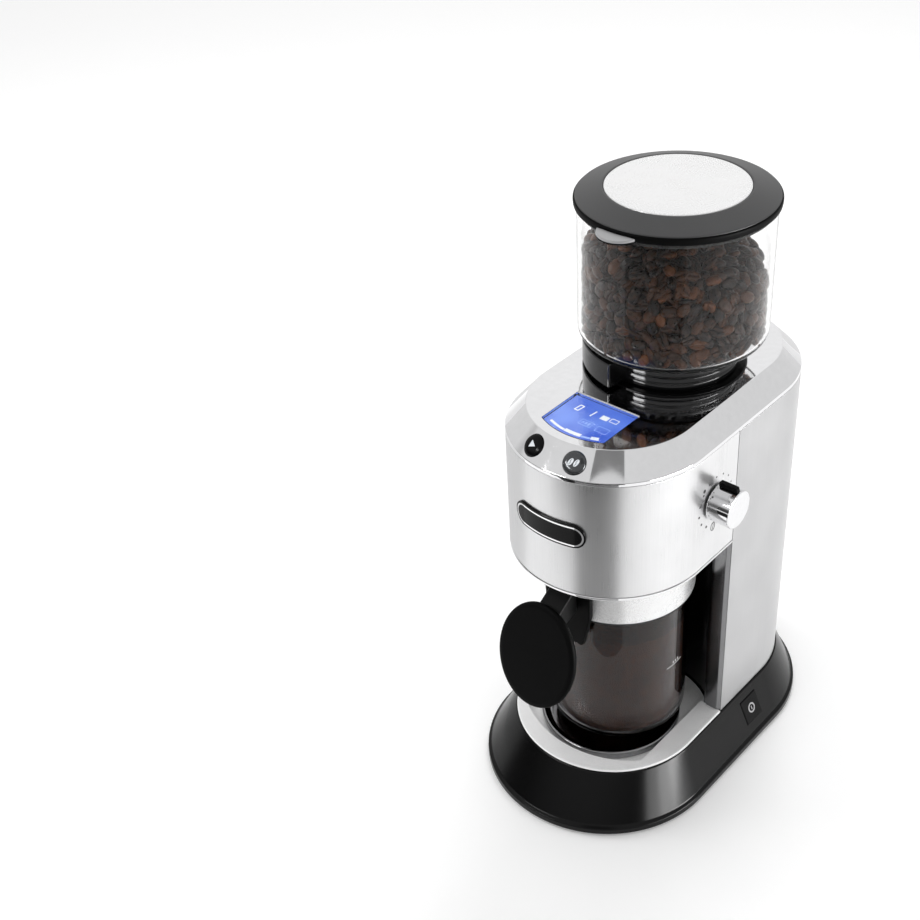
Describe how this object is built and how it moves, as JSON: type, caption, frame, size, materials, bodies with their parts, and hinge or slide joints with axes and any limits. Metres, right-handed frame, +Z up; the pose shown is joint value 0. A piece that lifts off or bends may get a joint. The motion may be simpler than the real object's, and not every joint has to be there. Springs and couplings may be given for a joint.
{
  "type": "burr coffee grinder",
  "caption": "Upright burr coffee grinder with a flared base, steel column and head, clear bean hopper with lid, side dial and a handled jar below.",
  "frame": {"origin": "on the table, under the middle of the base's outline", "axes": "+Z up, -Y towards the front where the jar stands, +X towards the grind dial's side"},
  "size_m": [0.155, 0.248, 0.3832],
  "materials": {
    "brushed_steel": "satin",
    "chrome": "polished",
    "satin_silver": "satin",
    "gloss_black": "gloss",
    "satin_black": "satin",
    "dark_grey": "satin",
    "clear": "polished",
    "smoked": "polished",
    "display_blue": "gloss",
    "hard_steel": "satin",
    "nylon": "matte",
    "zinc_plate": "satin",
    "motor_can": "matte",
    "board_green": "matte",
    "rubber": "matte",
    "coffee_beans": "satin",
    "ground_coffee": "matte"
  },
  "bodies": {
    "root": {"base_shell": "gloss_black", "base_bottom_cover": "satin_black", "cover_screw_1": "hard_steel", "cover_screw_2": "hard_steel", "rubber_foot_1": "rubber", "rubber_foot_2": "rubber", "rubber_foot_3": "rubber", "rubber_foot_4": "rubber", "cord_inlet": "satin_black", "base_deck": "chrome", "crumb_tray": "chrome", "column_shell": "brushed_steel", "column_front_panel": "gloss_black", "column_trim_left": "chrome", "column_trim_right": "chrome", "jar_rest": "satin_black", "head_shell": "brushed_steel", "head_lip": "chrome", "head_floor": "satin_black", "badge": "gloss_black", "top_cover": "chrome", "display_window": "clear", "display_module": "display_blue", "hopper_socket": "gloss_black", "motor": "motor_can", "motor_bracket": "zinc_plate", "inner_frame": "zinc_plate", "gear_plate": "zinc_plate", "lower_bearing": "hard_steel", "upper_bearing": "hard_steel", "burr_housing": "zinc_plate", "grounds_chute": "satin_black", "control_board": "board_green", "power_board": "board_green"},
    "power_switch": {"power_switch": "gloss_black"},
    "start_button": {"start_button": "gloss_black"},
    "dose_button": {"dose_button": "gloss_black"},
    "lock_ring": {"hopper_lock_ring": "satin_black"},
    "hopper": {"hopper_bin": "clear", "hopper_neck": "gloss_black"},
    "lid": {"hopper_lid": "dark_grey", "lid_disc": "satin_silver", "lid_seal": "rubber"},
    "dial": {"grind_knob": "chrome", "knob_pointer": "satin_black", "knob_shaft": "hard_steel", "adjust_worm": "hard_steel"},
    "adjuster": {"adjust_ring": "nylon", "upper_burr": "hard_steel"},
    "burr_drive": {"drive_gear": "nylon", "burr_shaft": "hard_steel", "lower_burr": "hard_steel"},
    "motor_rotor": {"motor_pinion": "hard_steel", "motor_shaft": "hard_steel"},
    "jar": {"jar_glass": "smoked", "jar_collar": "satin_silver", "jar_seal": "rubber", "jar_handle_bracket": "satin_black", "jar_handle_arm": "dark_grey", "jar_handle_paddle": "satin_black"}
  },
  "joints": [
    {"name": "power_press", "type": "slide", "parent": "root", "child": "power_switch", "axis": [-0.9047, 0, -0.4261], "range_m": [0, 0.0015], "stiffness_N_per_m": 300, "springref_m": -0.0005},
    {"name": "start_press", "type": "slide", "parent": "root", "child": "start_button", "axis": [0.1771, 0.6873, -0.7045], "range_m": [0, 0.0012], "stiffness_N_per_m": 300, "springref_m": -0.0005},
    {"name": "dose_press", "type": "slide", "parent": "root", "child": "dose_button", "axis": [-0.1771, 0.6873, -0.7045], "range_m": [0, 0.0012], "stiffness_N_per_m": 300, "springref_m": -0.0005},
    {"name": "hopper_turn", "type": "hinge", "parent": "root", "child": "lock_ring", "pos_m": [0, 0.0197, 0.245], "axis": [0, 0, 1], "range_deg": [0, 35]},
    {"name": "hopper_lift", "type": "slide", "parent": "lock_ring", "child": "hopper", "axis": [0, 0, 1], "range_m": [0, 0.06]},
    {"name": "lid_lift", "type": "slide", "parent": "hopper", "child": "lid", "axis": [0, 0, 1], "range_m": [0, 0.05]},
    {"name": "dial_turn", "type": "hinge", "parent": "root", "child": "dial", "pos_m": [0.07, -0.0235, 0.221], "axis": [1, 0, 0], "range_deg": [-140, 140]},
    {"name": "adjuster_turn", "type": "hinge", "parent": "root", "child": "adjuster", "pos_m": [0, 0.0197, 0.221], "axis": [0, 0, 1], "range_deg": [-2.4, 2.4]},
    {"name": "burr_spin", "type": "hinge", "parent": "root", "child": "burr_drive", "pos_m": [0, 0.0197, 0.187], "axis": [0, 0, 1], "continuous": true},
    {"name": "motor_spin", "type": "hinge", "parent": "root", "child": "motor_rotor", "pos_m": [0, 0.0647, 0.187], "axis": [0, 0, 1], "continuous": true},
    {"name": "jar_slide", "type": "slide", "parent": "root", "child": "jar", "axis": [0, -1, 0], "range_m": [0, 0.13]}
  ],
  "couplings": [
    {"joint": "adjuster_turn", "follows": "dial_turn", "ratio": -0.016667},
    {"joint": "burr_spin", "follows": "motor_spin", "ratio": -0.25}
  ]
}
